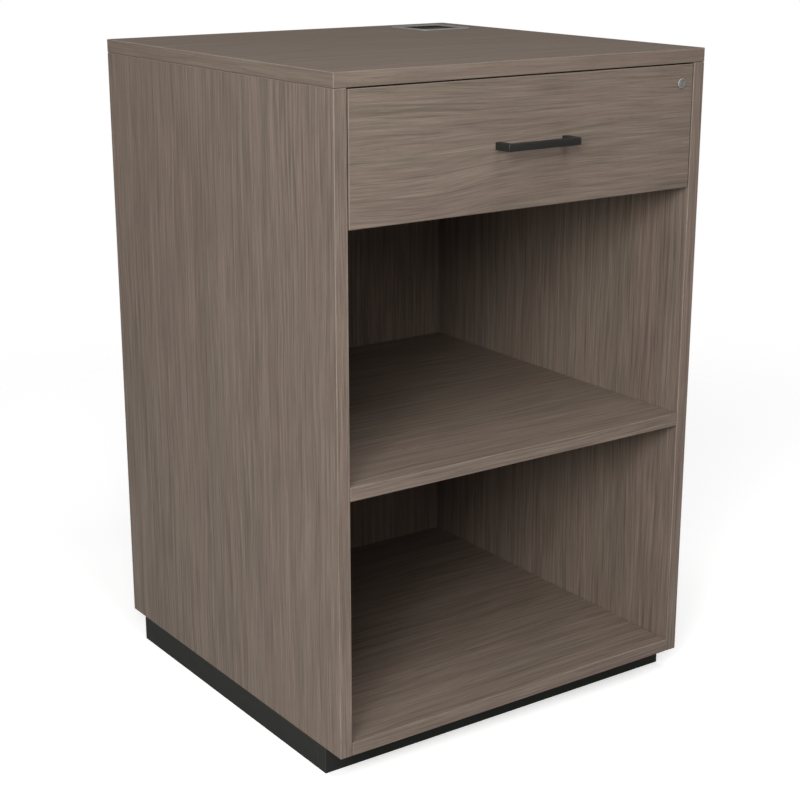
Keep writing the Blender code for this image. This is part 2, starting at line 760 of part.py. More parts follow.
def make_lock_plug(lock):
    """The turning plug with its keyway, the cam on its square tail, and the cam's screw."""
    face = LOCK_FACE_HEIGHT + SEAT_GAP
    length = face + BOARD + LOCK_BARREL_TAIL
    plug = add_part("lock_plug", rod_mesh("lock_plug", LOCK_PLUG_RADIUS, length, FINE_SIDES), NICKEL)
    aim(plug, LOCK_AXIS + REARWARD * (length - face), FORWARD, RIGHT)
    follow(plug, lock)
    key = (KEYWAY_WIDTH / 2, KEYWAY_DEPTH, KEYWAY_HEIGHT / 2)
    front_y = FRONT_Y - face
    cut_box(
        plug,
        "keyway",
        (LOCK_AXIS.x - key[0], front_y - key[1], LOCK_AXIS.z - key[2]),
        (LOCK_AXIS.x + key[0], front_y + key[1], LOCK_AXIS.z + key[2]),
    )
    side = LOCK_TAIL_SIDE
    tail_end = LOCK_CAM_Y + LOCK_CAM_METAL
    tail_start = LOCK_CAM_Y - LOCK_BARREL_TAIL
    tail = add_helper("lock tail", box_mesh("tail", (side, tail_end - tail_start, side)))
    tail.location = (LOCK_AXIS.x, (tail_end + tail_start) / 2, LOCK_AXIS.z)
    combine(plug, tail, "UNION")
    grip = LOCK_BARREL_TAIL + LOCK_CAM_METAL
    screw_hole = LOCK_SCREW_RADIUS + ROUND_GAP
    end = Vector((LOCK_AXIS.x, tail_end, LOCK_AXIS.z))
    cut_bore(plug, "screw hole", end, FORWARD, screw_hole, grip + ROUND_GAP)

    half = LOCK_CAM_WIDTH / 2
    reach = LOCK_CAM_REACH
    lever = rounded(rectangle(-reach, -half, half, half), LOCK_CAM_CORNER)
    slot = side / 2 + ROUND_GAP
    hole = rectangle(-slot, -slot, slot, slot)
    cam = add_part("lock_cam", plate_curve("lock_cam", [lever, hole], LOCK_CAM_METAL), ZINC)
    aim(cam, Vector((LOCK_AXIS.x, LOCK_CAM_Y + LOCK_CAM_METAL / 2, LOCK_AXIS.z)), FORWARD, RIGHT)
    follow(cam, lock)

    head = SCREW_HEAD_RADIUS
    profile = [
        (0.0, SCREW_HEAD_HEIGHT),
        (head - SCREW_HEAD_CHAMFER, SCREW_HEAD_HEIGHT),
        (head, SCREW_HEAD_HEIGHT - SCREW_HEAD_CHAMFER),
        (head, 0.0),
        (LOCK_SCREW_RADIUS, 0.0),
        (LOCK_SCREW_RADIUS, -grip),
        (0.0, -grip),
    ]
    screw = add_part("lock_cam_screw", turned_mesh("lock_cam_screw", profile, False, BORE_SIDES), ZINC)
    aim(screw, end + REARWARD * SEAT_GAP, REARWARD, RIGHT)
    follow(screw, lock)


def make_strike(top):
    """The angle under the top that the lock's cam turns up behind."""
    back = LOCK_CAM_Y - STRIKE_PLAY
    high = UNDER_TOP - SEAT_GAP
    low = LOCK_Z + LOCK_NUT_RADIUS + STRIKE_ABOVE_NUT
    metal = STRIKE_METAL
    corners = [
        (back - metal, low),
        (back, low),
        (back, high - metal),
        (back - metal + STRIKE_DEPTH, high - metal),
        (back - metal + STRIKE_DEPTH, high),
        (back - metal, high),
    ]
    mesh = plate_mesh("lock_strike", [corners], STRIKE_WIDTH)
    strike = add_part("lock_strike", mesh, ZINC)
    aim(strike, Vector((LOCK_AXIS.x, 0, 0)), RIGHT, REARWARD)
    screw_y = back + STRIKE_DEPTH / 2 + metal
    head = Vector((LOCK_AXIS.x, screw_y, high - metal - SEAT_GAP))
    hole = SCREW_RADIUS + ROUND_GAP
    cut_bore(strike, "screw hole", head, UP, hole, metal + SEAT_GAP * 3)
    grip = STRIKE_SCREW_GRIP + metal
    screw = add_part("strike_screw", screw_mesh("strike_screw", grip), ZINC)
    aim(screw, head, DOWN, RIGHT)
    cut_bore(top, "strike screw", Vector((head.x, head.y, UNDER_TOP)), UP, hole, STRIKE_SCREW_GRIP)


def make_grommet(top, lid_axis):
    """A square frame let into the top, and a lid hinged at its front that leaves a cable gap."""
    half = GROMMET_OPENING / 2
    corner = GROMMET_CORNER
    sleeve = half + GROMMET_WALL
    cut = sleeve + ROUND_GAP
    rim = sleeve + GROMMET_RIM
    hole = plate_mesh("hole", [rounded(rectangle(-cut, -cut, cut, cut), corner)], BOARD * 2)
    through = add_helper("top_panel grommet hole", hole)
    through.location = GROMMET + DOWN * BOARD / 2
    combine(top, through)

    flange = rounded(rectangle(-rim, -rim, rim, rim), corner + GROMMET_RIM)
    plate = plate_mesh("grommet_frame", [flange], GROMMET_RIM_HEIGHT)
    frame = add_part("grommet_frame", plate, BLACK_PLASTIC)
    frame.location = (GROMMET.x, GROMMET.y, RIM_TOP - GROMMET_RIM_HEIGHT / 2)
    depth = BOARD + SEAT_GAP + GROMMET_RIM_HEIGHT / 2
    wall = rounded(rectangle(-sleeve, -sleeve, sleeve, sleeve), corner)
    tube = add_helper("grommet sleeve", plate_mesh("sleeve", [wall], depth))
    tube.location = (GROMMET.x, GROMMET.y, RIM_TOP - GROMMET_RIM_HEIGHT / 2 - depth / 2)
    combine(frame, tube, "UNION")
    seat_depth = LID_RECESS + LID_METAL + SEAT_GAP
    seat_outline = rounded(rectangle(-half, -half, half, half), GROMMET_INNER_CORNER)
    seat = add_helper("grommet seat", plate_mesh("seat", [seat_outline], seat_depth * 2))
    seat.location = (GROMMET.x, GROMMET.y, RIM_TOP)
    combine(frame, seat)
    ledge = half - GROMMET_LEDGE
    way = rounded(rectangle(-ledge, -ledge, ledge, half), GROMMET_INNER_CORNER)
    passage = add_helper("grommet passage", plate_mesh("passage", [way], BOARD * 4))
    passage.location = GROMMET
    combine(frame, passage)

    pin_half = half + LID_PIN_REACH
    for side, direction in (("left", LEFT), ("right", RIGHT)):
        mouth = LID_HINGE + direction * half
        bore = LID_PIN_RADIUS + ROUND_GAP
        cut_bore(frame, f"pin hole {side}", mouth, direction, bore, LID_PIN_REACH + ROUND_GAP, PIN_SIDES)

    thick = LID_METAL / 2
    length = GROMMET_OPENING - LID_CABLE_GAP - LID_SIDE_GAP - thick
    nose = []
    for step in range(NOSE_STEPS + 1):
        turn = math.pi / 2 + math.pi * step / NOSE_STEPS
        nose.append((thick * math.cos(turn), thick * math.sin(turn)))
    section = nose + [(length, -thick), (length, thick)]
    width = GROMMET_OPENING - 2 * LID_SIDE_GAP
    lid = add_part("grommet_lid", plate_mesh("grommet_lid", [section], width), BLACK_PLASTIC)
    aim(lid, LID_HINGE, RIGHT, REARWARD)
    follow(lid, lid_axis)
    pin = add_helper("lid pin", rod_mesh("pin", LID_PIN_RADIUS, 2 * pin_half, PIN_SIDES))
    aim(pin, LID_HINGE + LEFT * pin_half, RIGHT, UP)
    combine(lid, pin, "UNION")


clear_scene()
LECTERN = new_collection("presentation_lectern")
CUTTERS = new_collection("cutters")

LAMINATE = surface("woodgrain_laminate", (0.17, 0.135, 0.108), 0.55)
CHARCOAL = surface("charcoal_laminate", (0.032, 0.033, 0.028), 0.6)
DRAWER_BOX = surface("grey_melamine", (0.3, 0.29, 0.28), 0.5)
BASE_SHEET = surface("grey_hardboard", (0.24, 0.23, 0.22), 0.6)
BLACK_METAL = surface("black_metal", (0.024, 0.025, 0.02), 0.45)
BLACK_PLASTIC = surface("black_plastic", (0.03, 0.03, 0.028), 0.5)
NICKEL = surface("satin_nickel", (0.38, 0.4, 0.4), 0.4, 1.0)
STEEL = surface("zinc_plated_slide", (0.5, 0.52, 0.54), 0.35, 1.0)
ZINC = surface("zinc_fastener", (0.45, 0.46, 0.47), 0.4, 1.0)

DRAWER = axis_empty("drawer_slide_axis", (0, FRONT_Y, SLIDE_Z))
LEFT_TRAVEL = axis_empty("left_slide_axis", (-INNER_HALF, SLIDE_FRONT_Y, SLIDE_Z))
RIGHT_TRAVEL = axis_empty("right_slide_axis", (INNER_HALF, SLIDE_FRONT_Y, SLIDE_Z))
LOCK = axis_empty("lock_axis", LOCK_AXIS)
LID = axis_empty("lid_hinge_axis", LID_HINGE)

TOP, SIDES, FLOOR, SHELF = make_carcase()
make_plinth()
make_fittings(TOP, SIDES, FLOOR, SHELF)
make_slides(DRAWER, LEFT_TRAVEL, RIGHT_TRAVEL)
FRONT, INNER_FRONT = make_drawer(DRAWER)
make_handle(DRAWER, FRONT, INNER_FRONT)
make_front_screws(DRAWER, FRONT, INNER_FRONT)
make_lock_body(DRAWER, FRONT)
make_lock_plug(LOCK)
make_strike(TOP)
make_grommet(TOP, LID)
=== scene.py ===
"""Looks of the presentation lectern on its CAD frame: materials, fine pieces, studio, camera."""
import math

import bmesh
import bpy
from mathutils import Euler, Matrix, Vector


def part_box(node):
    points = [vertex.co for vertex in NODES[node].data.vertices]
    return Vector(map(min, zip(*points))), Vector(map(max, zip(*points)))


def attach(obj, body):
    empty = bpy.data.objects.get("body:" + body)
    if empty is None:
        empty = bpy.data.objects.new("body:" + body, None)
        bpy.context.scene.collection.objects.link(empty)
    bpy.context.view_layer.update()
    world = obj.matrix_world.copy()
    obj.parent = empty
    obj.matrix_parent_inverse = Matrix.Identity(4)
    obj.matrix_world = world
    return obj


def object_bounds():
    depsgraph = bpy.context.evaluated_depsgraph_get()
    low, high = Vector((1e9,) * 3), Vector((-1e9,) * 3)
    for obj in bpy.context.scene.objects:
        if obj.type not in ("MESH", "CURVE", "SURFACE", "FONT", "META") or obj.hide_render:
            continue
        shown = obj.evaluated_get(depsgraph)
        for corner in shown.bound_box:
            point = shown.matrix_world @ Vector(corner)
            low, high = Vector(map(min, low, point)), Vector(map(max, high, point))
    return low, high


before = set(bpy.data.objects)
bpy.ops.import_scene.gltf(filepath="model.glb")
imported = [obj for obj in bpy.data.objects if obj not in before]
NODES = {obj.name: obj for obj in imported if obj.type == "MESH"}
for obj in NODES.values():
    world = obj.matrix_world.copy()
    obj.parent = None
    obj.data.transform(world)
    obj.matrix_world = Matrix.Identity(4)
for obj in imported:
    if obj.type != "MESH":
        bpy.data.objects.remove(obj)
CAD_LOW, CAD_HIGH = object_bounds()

X, Y, Z = 0, 1, 2

# Lengths are in metres and colours in linear RGB throughout.

# Camera: where it stands, its heading from +Y towards +X, its tilt below the horizon, and its lens.
CAMERA_PLACE = Vector((-1.3900, -1.9750, 1.1322))
CAMERA_HEADING = math.radians(35.04)
CAMERA_TILT = math.radians(16.54)
CAMERA_LENS = 75.5
CAMERA_SENSOR = 36.0

# Floor: opaque out to FLOOR_SOLID from its middle, and faded into the white room at FLOOR_END.
# The camera sees its SEEN greys and its glow, and the object gets only its duller BOUNCE greys.
FLOOR_HALF = 6.0
FLOOR_CELLS = 8
FLOOR_SOLID = 0.7
FLOOR_END = 2.4
FLOOR_MOTTLE = 3.0
FLOOR_SEEN = (0.86, 0.88)
FLOOR_BOUNCE = (0.485, 0.515)
FLOOR_GLOW = 0.48
FLOOR_ROUGHNESS = 0.9
FLOOR_SPECULAR = 0.1

# Room: its brightness to the camera, and as a light.
ROOM_WHITE = 1.0
ROOM_LIGHT = 0.15

# Softboxes, all at one distance from the target: name, azimuth, elevation, width, watts.
LIGHT_TARGET = Vector((0, 0, 0.53))
LIGHT_DISTANCE = 3.2
SOFTBOXES = (
    ("key_high", -40, 26, 1.2, 43),
    ("key_low", -54, 16, 1.2, 42),
    ("fill_over", 0, 60, 1.6, 33),
    ("fill_right", 80, 25, 1.6, 14),
    ("fill_back", 205, 35, 1.6, 18),
)

# Laminate colours: the two ends of the print's tone, its two tints, and its lighter arrises, which
# are worn and also a painted highlight of the light on the eased edges. The tint and the dark ticks
# each have a share in the print's colour.
TAUPE_LIGHT = (0.302, 0.232, 0.184, 1)
TAUPE_DARK = (0.098, 0.074, 0.059, 1)
TAUPE_WARM = (0.220, 0.160, 0.136, 1)
TAUPE_COOL = (0.188, 0.160, 0.121, 1)
ARRIS_WEAR_AND_HIGHLIGHT = (0.36, 0.29, 0.245, 1)
TINT_SHARE = 0.27
TICK_SHARE = 0.35

# The print's noise fields. Each has its scale across and along the grain in cycles a metre, its
# place in the noise, its detail and its roughness. Those of the tone come with their weight in it.
TONE_FIELDS = {
    "bands": ((26.0, 0.9, 11.0, 2.0, 0.5), 0.25),
    "streaks": ((95.0, 2.4, 23.0, 2.0, 0.6), 0.55),
    "lines": ((260.0, 4.5, 37.0, 2.0, 0.6), 1.4),
    "hairs": ((800.0, 14.0, 43.0, 1.0, 0.5), 1.5),
}
DRIFT_FIELD = (7.0, 2.2, 0.0, 1.0, 0.5)
RIPPLE_FIELD = (30.0, 9.0, 3.1, 1.0, 0.5)
TICK_FIELD = (1500.0, 55.0, 51.0, 1.0, 0.5)
HUE_FIELD = (34.0, 1.6, 67.0, 2.0, 0.5)
RIPPLE_SWAY = 0.004
HUE_SPREAD = (0.35, 0.65)
TICK_CUT = (0.62, 0.72)

# The print's relief, and its gloss: from a range of the relief to a range of roughness.
LINE_HEIGHT = 0.6
TICK_HEIGHT = -0.5
PRINT_BUMP = 0.00012
PRINT_GLOSS = (0.1, 0.5, 0.62, 0.48)
PRINT_SPECULAR = 0.35

# Each board's thickness axis, grain axis, the sway of its figure, and its contrast.
BOARDS = {
    # The top's low contrast is a painted sheen: its print is flattened to stand in for the haze of
    # reflected light over it at a low angle.
    "top_panel": (Z, X, 0.014, 0.55),
    "side_panel_left": (X, Z, 0.024, 0.92),
    "side_panel_right": (X, Z, 0.020, 0.98),
    "back_panel": (Y, Z, 0.014, 1.0),
    "bottom_panel": (Z, X, 0.022, 0.88),
    "fixed_shelf": (Z, X, 0.022, 0.88),
    "drawer_front": (Y, X, 0.04, 0.8),
}

# The seeds part the boards' figures, and the shift parts a board's faces from its bands.
FIRST_SEED = 1.0
SEED_STEP = 2.3
SEED_SPREAD = 1.7
FACE_SHIFT = -3.7

# The share of a normal that makes its face count as square to an axis.
FACING = 0.6

# Glue lines of the edge bands: their inset from the face's outline, half their width, their share.
GLUE_INSET = 0.0011
GLUE_HALF = 0.00015
GLUE_SHARE = 0.5

# Lighter lines along arrises: wear, and on the boards also a painted highlight of the eased edges.
# Where it starts to fade, the scale and least strength of its patches, then its reach and strength on
# boards and on others.
WEAR_FULL = 0.0003
WEAR_PATCHES = 60.0
WEAR_LEAST = 0.45
BOARD_WEAR_AND_HIGHLIGHT = (0.0016, 0.27)
EDGED_WEAR = (0.0013, 0.45)

# Plain finishes. Most values of a noise lie in NOISE_SPREAD. The scales of a speckled finish's
# broad mottle and flecks are shares of its fine one's, and the flecks are cut from their noise.
# Metal has drawn lines, a cloud, and specks on plating. A DETAIL is a noise's detail and roughness.
NOISE_SPREAD = (0.3, 0.7)
FINE_DETAIL = (3.0, 0.6)
FINE_GRIT = 0.00003
COARSE_GRIT = 0.00005
BROAD_SCALE = 0.04
SCUFF_RANGE = (0.35, 0.65, -0.04, 0.04)
FLECK_SCALE = 0.45
FLECK_CUT = (0.58, 0.7)
FLECK_DISTORTION = 2.5
DRAWN_DETAIL = (4.0, 0.65)
CLOUD_SCALE = 90.0
LINE_SHARE, CLOUD_SHARE = 0.55, 0.45
METAL_SPREAD = (0.32, 0.68)
SPECK_SCALE = 1300.0
SPECK_SPREAD = (0.2, 0.8)
METAL_GRIT = 0.00002

# Mesh clean-up: the welding distance, and the angle from which an edge is a real one.
WELD = 0.00001
CREASE = math.radians(32)

# Widths of the eased arrises: on boards, by the start of a node's name, and on everything else.
EASED_SEGMENTS = 2
EASED_BOARD = 0.0007
EASED = {"drawer_handle": 0.0007, "plinth": 0.0006, "drawer": 0.0004, "grommet": 0.0003}
EASED_OTHER = 0.00015

# Grommet: the width of its rim, the dark and light of its black depths and of its satin rim.
GROMMET_RIM = 0.0067
GROMMET_BLACK = ((0.012, 0.011, 0.010, 1), (0.020, 0.019, 0.017, 1))
GROMMET_SATIN = ((0.235, 0.224, 0.210, 1), (0.295, 0.282, 0.265, 1))
SATIN_SCALE = 900.0

# Slide fittings: the sheet of their members, then the screws' heads, whose cross recess has its
# arms' width, its mouth and its floor as shares, then the balls and their cages. The screws'
# places and the ball rows' reach are shares of a member's length.
SHEET = 0.0012
HEAD_RADIUS = 0.0036
HEAD_SIDES = 48
HEAD_STEPS = 5
HEAD_SHRINK = 0.32
FLUSH_HEAD, FLUSH_DOME = 0.00035, 0.3
PAN_HEAD, PAN_DOME = 0.0021, 0.75
RECESS_WIDTH = 0.32
RECESS_MOUTH = 0.55
RECESS_FLOOR, RECESS_LEVEL = 0.4, 0.25
SCREW_SHARES = {"outer": (0.07, 0.46, 0.9), "inner": (0.05, 0.37, 0.64, 0.93)}
BALL_RADIUS = 0.0013
BALL_PITCH = 0.011
BALL_DETAIL = 2
CAGE_SHEET = 0.00025
CAGE_HALF = 0.0024
BEARING_SHARE = 0.36
BEARING_INSET = 0.008


# ---------------------------------------------------------------- node helpers
def add(tree, kind, inputs=None, **settings):
    """A new node. Inputs map its sockets to plain values or to other nodes' outputs."""
    made = tree.nodes.new(kind)
    for key, value in settings.items():
        setattr(made, key, value)
    for socket, value in (inputs or {}).items():
        if isinstance(value, bpy.types.NodeSocket):
            tree.links.new(value, made.inputs[socket])
        else:
            made.inputs[socket].default_value = value
    return made


def calc(tree, operation, *values, clamp=False):
    inputs = dict(enumerate(values))
    return add(tree, "ShaderNodeMath", inputs, operation=operation, use_clamp=clamp).outputs[0]


def noise(tree, vector, scale=1.0, detail=2.0, roughness=0.5, distortion=0.0):
    inputs = {
        "Vector": vector,
        "Scale": scale,
        "Detail": detail,
        "Roughness": roughness,
        "Distortion": distortion,
    }
    return add(tree, "ShaderNodeTexNoise", inputs).outputs["Fac"]


def stretch(tree, value, low, high, to_low=0.0, to_high=1.0):
    """The value carried from one range to another, and kept within it."""
    inputs = {0: value, 1: low, 2: high, 3: to_low, 4: to_high}
    return add(tree, "ShaderNodeMapRange", inputs, clamp=True).outputs[0]


def mix_colour(tree, share, first, second):
    inputs = {0: share, 6: first, 7: second}
    return add(tree, "ShaderNodeMix", inputs, data_type="RGBA").outputs[2]


def object_spot(tree):
    return tree.nodes.new("ShaderNodeTexCoord").outputs["Object"]


def split(tree, vector):
    """The X, Y and Z of a vector."""
    return add(tree, "ShaderNodeSeparateXYZ", {0: vector}).outputs


def blank_material(name):
    """A material, its node tree and its Principled shader, which is linked to the output."""
    material = bpy.data.materials.new(name)
    material.use_nodes = True
    tree = material.node_tree
    tree.nodes.clear()
    shader = tree.nodes.new("ShaderNodeBsdfPrincipled")
    output = tree.nodes.new("ShaderNodeOutputMaterial")
    tree.links.new(shader.outputs["BSDF"], output.inputs["Surface"])
    return material, tree, shader


def bump(tree, shader, height, distance):
    made = add(tree, "ShaderNodeBump", {"Height": height, "Distance": distance})
    tree.links.new(made.outputs["Normal"], shader.inputs["Normal"])


def insets(tree, name, place, axes):
    """How far inside a node's box a point lies, along each of these axes."""
    low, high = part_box(name)
    return [
        calc(tree, "MINIMUM",
             calc(tree, "SUBTRACT", place[axis], low[axis]),
             calc(tree, "SUBTRACT", high[axis], place[axis]))
        for axis in axes
    ]


def arris_wear_and_highlight(tree, name, spot, place, reach, strength):
    """A broken line along a box-shaped node's arrises, reach wide: wear, and on the boards a painted
    highlight as well.
    """
    first, second, third = insets(tree, name, place, (X, Y, Z))
    least = calc(tree, "MINIMUM", first, second)
    most = calc(tree, "MAXIMUM", first, second)
    to_arris = calc(tree, "MAXIMUM", least, calc(tree, "MINIMUM", most, third))
    patches = stretch(tree, noise(tree, spot, WEAR_PATCHES), *NOISE_SPREAD, WEAR_LEAST, 1.0)
    return calc(tree, "MULTIPLY", stretch(tree, to_arris, WEAR_FULL, reach, strength, 0.0), patches)


# ---------------------------------------------------------------- laminate
def print_group():
    """The printed wood figure: hairs, lines, streaks and broad bands along the grain."""
    tree = bpy.data.node_groups.new("laminate_print", "ShaderNodeTree")
    for name in ("Across", "Along", "Seed", "Drift", "Contrast"):
        tree.interface.new_socket(name, in_out="INPUT", socket_type="NodeSocketFloat")
    tree.interface.new_socket("Color", in_out="OUTPUT", socket_type="NodeSocketColor")
    tree.interface.new_socket("Height", in_out="OUTPUT", socket_type="NodeSocketFloat")
    entry = tree.nodes.new("NodeGroupInput").outputs

    def field(across, across_scale, along_scale, shift, detail, roughness):
        inputs = {
            0: calc(tree, "MULTIPLY", across, across_scale),
            1: calc(tree, "MULTIPLY", entry["Along"], along_scale),
            2: calc(tree, "ADD", entry["Seed"], shift),
        }
        place = add(tree, "ShaderNodeCombineXYZ", inputs).outputs[0]
        return noise(tree, place, detail=detail, roughness=roughness)

    drift = field(entry["Across"], *DRIFT_FIELD)
    ripple = field(entry["Across"], *RIPPLE_FIELD)
    wavy = calc(tree, "MULTIPLY_ADD", drift, entry["Drift"], entry["Across"])
    wavy = calc(tree, "MULTIPLY_ADD", ripple, RIPPLE_SWAY, wavy)

    parts = {name: field(wavy, *settings) for name, (settings, _) in TONE_FIELDS.items()}
    tone = 0.5
    for name, (_, weight) in TONE_FIELDS.items():
        swing = calc(tree, "MULTIPLY_ADD", parts[name], weight, -0.5 * weight)
        tone = calc(tree, "MULTIPLY_ADD", swing, entry["Contrast"], tone)
    tone = calc(tree, "ADD", tone, 0.0, clamp=True)
    colour = mix_colour(tree, tone, TAUPE_DARK, TAUPE_LIGHT)
    hue = stretch(tree, field(wavy, *HUE_FIELD), *HUE_SPREAD)
    tint = mix_colour(tree, hue, TAUPE_WARM, TAUPE_COOL)
    colour = mix_colour(tree, TINT_SHARE, colour, tint)
    ticks = stretch(tree, field(wavy, *TICK_FIELD), *TICK_CUT)
    colour = mix_colour(tree, calc(tree, "MULTIPLY", ticks, TICK_SHARE), colour, TAUPE_DARK)
    tick_height = calc(tree, "MULTIPLY", ticks, TICK_HEIGHT)
    height = calc(tree, "MULTIPLY_ADD", parts["lines"], LINE_HEIGHT, tick_height)

    leave = tree.nodes.new("NodeGroupOutput")
    tree.links.new(colour, leave.inputs["Color"])
    tree.links.new(height, leave.inputs["Height"])
    return tree


def laminate(name, thick, grain, seed, sway, contrast, figure_tree):
    """Laminate for one board: its faces' figure runs with the grain, and its bands' along them."""
    cross = 3 - thick - grain
    material, tree, shader = blank_material("laminate_" + name)
    coordinates = tree.nodes.new("ShaderNodeTexCoord")
    spot = coordinates.outputs["Object"]
    place = split(tree, spot)
    facing = split(tree, coordinates.outputs["Normal"])
    end = calc(tree, "GREATER_THAN", calc(tree, "ABSOLUTE", facing[grain]), FACING)
    face = calc(tree, "GREATER_THAN", calc(tree, "ABSOLUTE", facing[thick]), FACING)

    def changed_at_end(usual, other):
        return calc(tree, "MULTIPLY_ADD", end, calc(tree, "SUBTRACT", other, usual), usual)

    along = changed_at_end(place[grain], place[cross])
    across = calc(tree, "ADD", changed_at_end(place[cross], place[grain]), place[thick])
    across = calc(tree, "ADD", across, calc(tree, "MULTIPLY_ADD", face, FACE_SHIFT, seed))
    inputs = {
        "Across": across,
        "Along": along,
        "Seed": seed * SEED_SPREAD,
        "Drift": sway,
        "Contrast": contrast,
    }
    figure = add(tree, "ShaderNodeGroup", inputs, node_tree=figure_tree).outputs

    outline = calc(tree, "MINIMUM", *insets(tree, name, place, (grain, cross)))
    glue = calc(tree, "MULTIPLY", face, calc(tree, "COMPARE", outline, GLUE_INSET, GLUE_HALF))
    glue = calc(tree, "MULTIPLY", glue, GLUE_SHARE)
    colour = mix_colour(tree, glue, figure["Color"], TAUPE_DARK)
    # Lighter arrises: wear, and a painted highlight of the light catching the eased edges.
    colour = mix_colour(tree, arris_wear_and_highlight(tree, name, spot, place, *BOARD_WEAR_AND_HIGHLIGHT), colour, ARRIS_WEAR_AND_HIGHLIGHT)
    tree.links.new(colour, shader.inputs["Base Color"])
    roughness = stretch(tree, figure["Height"], *PRINT_GLOSS)
    tree.links.new(roughness, shader.inputs["Roughness"])
    shader.inputs["Specular IOR Level"].default_value = PRINT_SPECULAR
    bump(tree, shader, figure["Height"], PRINT_BUMP)
    return material


# ---------------------------------------------------------------- plain finishes
def speckled(name, dark, light, scale, rough, grit=FINE_GRIT, specular=0.5, flecks=0.0):
    """A moulded, coated or pressed finish, mottled in colour and gloss, with a fine grit."""
    material, tree, shader = blank_material(name)
    spot = object_spot(tree)
    fine = noise(tree, spot, scale, *FINE_DETAIL)
    broad = noise(tree, spot, scale * BROAD_SCALE)
    share = calc(tree, "MULTIPLY_ADD", fine, 0.5, calc(tree, "MULTIPLY", broad, 0.5))
    colour = mix_colour(tree, stretch(tree, share, *NOISE_SPREAD), dark, light)
    if flecks:
        fibres = noise(tree, spot, scale * FLECK_SCALE, distortion=FLECK_DISTORTION)
        colour = mix_colour(tree, stretch(tree, fibres, *FLECK_CUT, 0.0, flecks), colour, dark)
    tree.links.new(colour, shader.inputs["Base Color"])
    scuffs = stretch(tree, broad, *SCUFF_RANGE)
    roughness = calc(tree, "ADD", stretch(tree, fine, *NOISE_SPREAD, *rough), scuffs)
    tree.links.new(roughness, shader.inputs["Roughness"])
    shader.inputs["Specular IOR Level"].default_value = specular
    bump(tree, shader, fine, grit)
    return material, tree, shader, colour, spot


def edged(node, label, dark, light, scale, rough, wear, **settings):
    """A speckled finish for one box-shaped node, with wear of this colour along its arrises."""
    material, tree, shader, colour, spot = speckled(
        f"{label}_{node}", dark, light, scale, rough, **settings)
    worn = arris_wear_and_highlight(tree, node, spot, split(tree, spot), *EDGED_WEAR)
    tree.links.new(mix_colour(tree, worn, colour, wear), shader.inputs["Base Color"])
    return material


def metal(name, dark, light, drawn, rough, specks=0.0, bright=1.0):
    """Bare or plated metal. Drawn is the scale of its fine lines along X, Y and Z."""
    material, tree, shader = blank_material(name)
    spot = object_spot(tree)
    inputs = {0: spot, 1: drawn}
    along = add(tree, "ShaderNodeVectorMath", inputs, operation="MULTIPLY").outputs[0]
    lines = noise(tree, along, 1.0, *DRAWN_DETAIL)
    cloud = noise(tree, spot, CLOUD_SCALE, *FINE_DETAIL)
    clouded = calc(tree, "MULTIPLY", cloud, CLOUD_SHARE)
    share = calc(tree, "MULTIPLY_ADD", lines, LINE_SHARE, clouded)
    colour = mix_colour(tree, stretch(tree, share, *METAL_SPREAD), dark, light)
    if specks:
        grains = add(tree, "ShaderNodeTexVoronoi", {"Vector": spot, "Scale": SPECK_SCALE})
        dulled = stretch(tree, grains.outputs["Distance"], *SPECK_SPREAD, 0.0, specks)
        colour = mix_colour(tree, dulled, colour, dark)
    tree.links.new(colour, shader.inputs["Base Color"])
    gloss = calc(tree, "MULTIPLY_ADD", cloud, 0.5, calc(tree, "MULTIPLY", lines, 0.5))
    tree.links.new(stretch(tree, gloss, *NOISE_SPREAD, *rough), shader.inputs["Roughness"])
    shader.inputs["Metallic"].default_value = bright
    bump(tree, shader, lines, METAL_GRIT)
    return material


def grommet_finish():
    """Satin grey on the rim and just inside it, and black further down in the opening."""
    low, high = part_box("grommet_frame")
    middle = (low + high) / 2
    material, tree, shader, black, spot = speckled(
        "grommet_frame", *GROMMET_BLACK, 1400, (0.45, 0.58))
    place = split(tree, spot)
    out = [
        calc(tree, "ABSOLUTE", calc(tree, "SUBTRACT", place[axis], middle[axis]))
        for axis in (X, Y)
    ]
    rim_start = high.x - middle.x - GROMMET_RIM
    rim = calc(tree, "GREATER_THAN", calc(tree, "MAXIMUM", *out), rim_start)
    halfway = (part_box("grommet_lid")[1].z + high.z) / 2
    rim = calc(tree, "MAXIMUM", rim, calc(tree, "GREATER_THAN", place[Z], halfway))
    fine = noise(tree, spot, SATIN_SCALE, *FINE_DETAIL)
    satin = mix_colour(tree, stretch(tree, fine, *NOISE_SPREAD), *GROMMET_SATIN)
    tree.links.new(mix_colour(tree, rim, black, satin), shader.inputs["Base Color"])
    return material


# ---------------------------------------------------------------- dressing the CAD nodes
def shading_group():
    """Corners welded, the import's own normals dropped, and all smooth but the real edges."""
    tree = bpy.data.node_groups.new("clean_shading", "GeometryNodeTree")
    tree.interface.new_socket("Geometry", in_out="INPUT", socket_type="NodeSocketGeometry")
    tree.interface.new_socket("Geometry", in_out="OUTPUT", socket_type="NodeSocketGeometry")
    entry = tree.nodes.new("NodeGroupInput").outputs[0]
    inputs = {"Geometry": entry, "Distance": WELD}
    welded = add(tree, "GeometryNodeMergeByDistance", inputs).outputs[0]
    angle = tree.nodes.new("GeometryNodeInputMeshEdgeAngle").outputs["Unsigned Angle"]
    inputs = {
        "Mesh": welded,
        "Remove Custom": True,
        "Edge Sharpness": calc(tree, "GREATER_THAN", angle, CREASE),
        "Face Sharpness": False,
    }
    clean = add(tree, "GeometryNodeSetMeshNormal", inputs, mode="SHARPNESS").outputs[0]
    leave = tree.nodes.new("NodeGroupOutput")
    tree.links.new(clean, leave.inputs[0])
    return tree


SHADING = shading_group()


def shade(thing):
    thing.modifiers.new("shading", "NODES").node_group = SHADING


